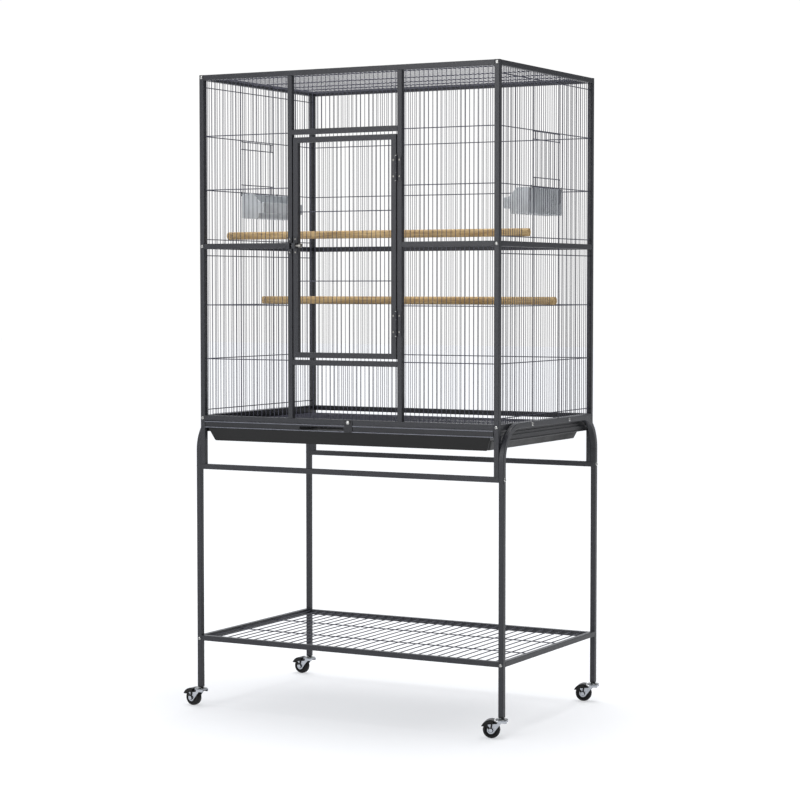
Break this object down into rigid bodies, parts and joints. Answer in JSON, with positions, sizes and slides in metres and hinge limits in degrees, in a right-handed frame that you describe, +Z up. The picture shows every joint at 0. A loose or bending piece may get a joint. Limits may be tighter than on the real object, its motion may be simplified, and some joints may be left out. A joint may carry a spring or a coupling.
{
  "type": "bird cage on stand",
  "caption": "Tall rectangular flight cage with wire walls, a hinged front door, sliding cup doors, slide-out grate and tray, on a tube stand with a wire shelf and locking swivel casters.",
  "frame": {"origin": "on the floor, under the middle of the cage", "axes": "+Z up, -Y out of the front door, +X to the right seen from the front"},
  "size_m": [0.8884, 0.5628, 1.549],
  "materials": {
    "frame_coat": "hammertone powder coat",
    "wire_coat": "hammertone powder coat",
    "sheet_coat": "powder coat",
    "hardware_coat": "satin",
    "zinc": "zinc plated",
    "hook_strip": "plated strip",
    "cup_plastic": "moulded",
    "tray_plastic": "moulded",
    "black_plastic": "moulded",
    "perch_wood": "sanded, bare",
    "caster_metal": "bright",
    "wheel_rubber": "moulded"
  },
  "bodies": {
    "cage": {"back_rails": "frame_coat", "back_wires": "wire_coat", "caster_plugs": "black_plastic", "corner_posts": "frame_coat", "cup_door_guides": "wire_coat", "door_posts": "frame_coat", "frame_bolts": "zinc", "front_bay_wires": "wire_coat", "front_centre_wires": "wire_coat", "front_rails": "frame_coat", "hinge_pins": "zinc", "hinge_post_leaves": "hardware_coat", "latch_keeper": "hardware_coat", "left_stand_hoop": "frame_coat", "left_wires": "wire_coat", "post_caps": "black_plastic", "right_stand_hoop": "frame_coat", "right_wires": "wire_coat", "roof_wires": "wire_coat", "shelf_frame": "frame_coat", "shelf_wires": "wire_coat", "side_rails": "frame_coat", "stand_bolts": "zinc", "stand_braces": "frame_coat", "tray_guides": "sheet_coat", "tube_inserts": "zinc"},
    "door": {"door_frame": "frame_coat", "door_wires": "wire_coat", "hinge_door_leaves": "hardware_coat", "latch_plate": "hardware_coat"},
    "latch_bolt": {"latch_bolt": "zinc"},
    "left_cup_door": {"left_cup_door": "wire_coat"},
    "right_cup_door": {"right_cup_door": "wire_coat"},
    "left_cup": {"left_seed_cup": "cup_plastic", "left_cup_hooks": "hook_strip"},
    "right_cup": {"right_seed_cup": "cup_plastic", "right_cup_hooks": "hook_strip"},
    "upper_perch": {"upper_perch": "perch_wood"},
    "lower_perch": {"lower_perch": "perch_wood"},
    "grate": {"grate_bar": "sheet_coat", "grate_wires": "wire_coat"},
    "grate_lock_screw": {"grate_lock_screw": "zinc"},
    "tray": {"tray": "tray_plastic"},
    "front_left_swivel": {"front_left_caster_fork": "caster_metal", "front_left_caster_axle": "caster_metal"},
    "front_left_wheel": {"front_left_caster_wheel": "wheel_rubber"},
    "front_left_brake": {"front_left_caster_brake": "black_plastic"},
    "front_right_swivel": {"front_right_caster_fork": "caster_metal", "front_right_caster_axle": "caster_metal"},
    "front_right_wheel": {"front_right_caster_wheel": "wheel_rubber"},
    "front_right_brake": {"front_right_caster_brake": "black_plastic"},
    "back_left_swivel": {"back_left_caster_fork": "caster_metal", "back_left_caster_axle": "caster_metal"},
    "back_left_wheel": {"back_left_caster_wheel": "wheel_rubber"},
    "back_left_brake": {"back_left_caster_brake": "black_plastic"},
    "back_right_swivel": {"back_right_caster_fork": "caster_metal", "back_right_caster_axle": "caster_metal"},
    "back_right_wheel": {"back_right_caster_wheel": "wheel_rubber"},
    "back_right_brake": {"back_right_caster_brake": "black_plastic"}
  },
  "joints": [
    {"name": "door_hinge", "type": "hinge", "parent": "cage", "child": "door", "pos_m": [0.1411, -0.2697, 1.12925], "axis": [0, 0, 1], "range_deg": [0, 170]},
    {"name": "latch_bolt_slide", "type": "slide", "parent": "door", "child": "latch_bolt", "axis": [-1, 0, 0], "range_m": [0, 0.007]},
    {"name": "left_cup_door_slide", "type": "slide", "parent": "cage", "child": "left_cup_door", "axis": [0, 0, 1], "range_m": [0, 0.12]},
    {"name": "left_cup_lift", "type": "slide", "parent": "cage", "child": "left_cup", "axis": [0, 0, 1], "range_m": [0, 0.02]},
    {"name": "right_cup_door_slide", "type": "slide", "parent": "cage", "child": "right_cup_door", "axis": [0, 0, 1], "range_m": [0, 0.12]},
    {"name": "right_cup_lift", "type": "slide", "parent": "cage", "child": "right_cup", "axis": [0, 0, 1], "range_m": [0, 0.02]},
    {"name": "upper_perch_lift", "type": "slide", "parent": "cage", "child": "upper_perch", "axis": [0, 0, 1], "range_m": [0, 0.095]},
    {"name": "lower_perch_lift", "type": "slide", "parent": "cage", "child": "lower_perch", "axis": [0, 0, 1], "range_m": [0, 0.095]},
    {"name": "grate_slide", "type": "slide", "parent": "cage", "child": "grate", "axis": [0, -1, 0], "range_m": [0, 0.48]},
    {"name": "lock_screw_turn", "type": "hinge", "parent": "grate", "child": "grate_lock_screw", "pos_m": [0.012, -0.268, 0.7145], "axis": [0, -1, 0], "continuous": true},
    {"name": "tray_slide", "type": "slide", "parent": "cage", "child": "tray", "axis": [0, -1, 0], "range_m": [0, 0.48]},
    {"name": "front_left_swivel_turn", "type": "hinge", "parent": "cage", "child": "front_left_swivel", "pos_m": [-0.41285, -0.26015, 0.045], "axis": [0, 0, 1], "continuous": true},
    {"name": "front_left_wheel_roll", "type": "hinge", "parent": "front_left_swivel", "child": "front_left_wheel", "pos_m": [-0.43622, -0.25769, 0.02], "axis": [0.1045, 0.9945, 0], "continuous": true},
    {"name": "front_left_brake_press", "type": "hinge", "parent": "front_left_swivel", "child": "front_left_brake", "pos_m": [-0.43622, -0.25769, 0.02], "axis": [-0.1045, -0.9945, 0], "range_deg": [0, 12]},
    {"name": "front_right_swivel_turn", "type": "hinge", "parent": "cage", "child": "front_right_swivel", "pos_m": [0.41285, -0.26015, 0.045], "axis": [0, 0, 1], "continuous": true},
    {"name": "front_right_wheel_roll", "type": "hinge", "parent": "front_right_swivel", "child": "front_right_wheel", "pos_m": [0.39038, -0.26702, 0.02], "axis": [-0.2924, 0.9563, 0], "continuous": true},
    {"name": "front_right_brake_press", "type": "hinge", "parent": "front_right_swivel", "child": "front_right_brake", "pos_m": [0.39038, -0.26702, 0.02], "axis": [0.2924, -0.9563, 0], "range_deg": [0, 12]},
    {"name": "back_left_swivel_turn", "type": "hinge", "parent": "cage", "child": "back_left_swivel", "pos_m": [-0.41285, 0.26015, 0.045], "axis": [0, 0, 1], "continuous": true},
    {"name": "back_left_wheel_roll", "type": "hinge", "parent": "back_left_swivel", "child": "back_left_wheel", "pos_m": [-0.43634, 0.26097, 0.02], "axis": [0.0349, 0.9994, 0], "continuous": true},
    {"name": "back_left_brake_press", "type": "hinge", "parent": "back_left_swivel", "child": "back_left_brake", "pos_m": [-0.43634, 0.26097, 0.02], "axis": [-0.0349, -0.9994, 0], "range_deg": [0, 12]},
    {"name": "back_right_swivel_turn", "type": "hinge", "parent": "cage", "child": "back_right_swivel", "pos_m": [0.41285, 0.26015, 0.045], "axis": [0, 0, 1], "continuous": true},
    {"name": "back_right_wheel_roll", "type": "hinge", "parent": "back_right_swivel", "child": "back_right_wheel", "pos_m": [0.38986, 0.25526, 0.02], "axis": [-0.2079, 0.9781, 0], "continuous": true},
    {"name": "back_right_brake_press", "type": "hinge", "parent": "back_right_swivel", "child": "back_right_brake", "pos_m": [0.38986, 0.25526, 0.02], "axis": [0.2079, -0.9781, 0], "range_deg": [0, 12]}
  ]
}
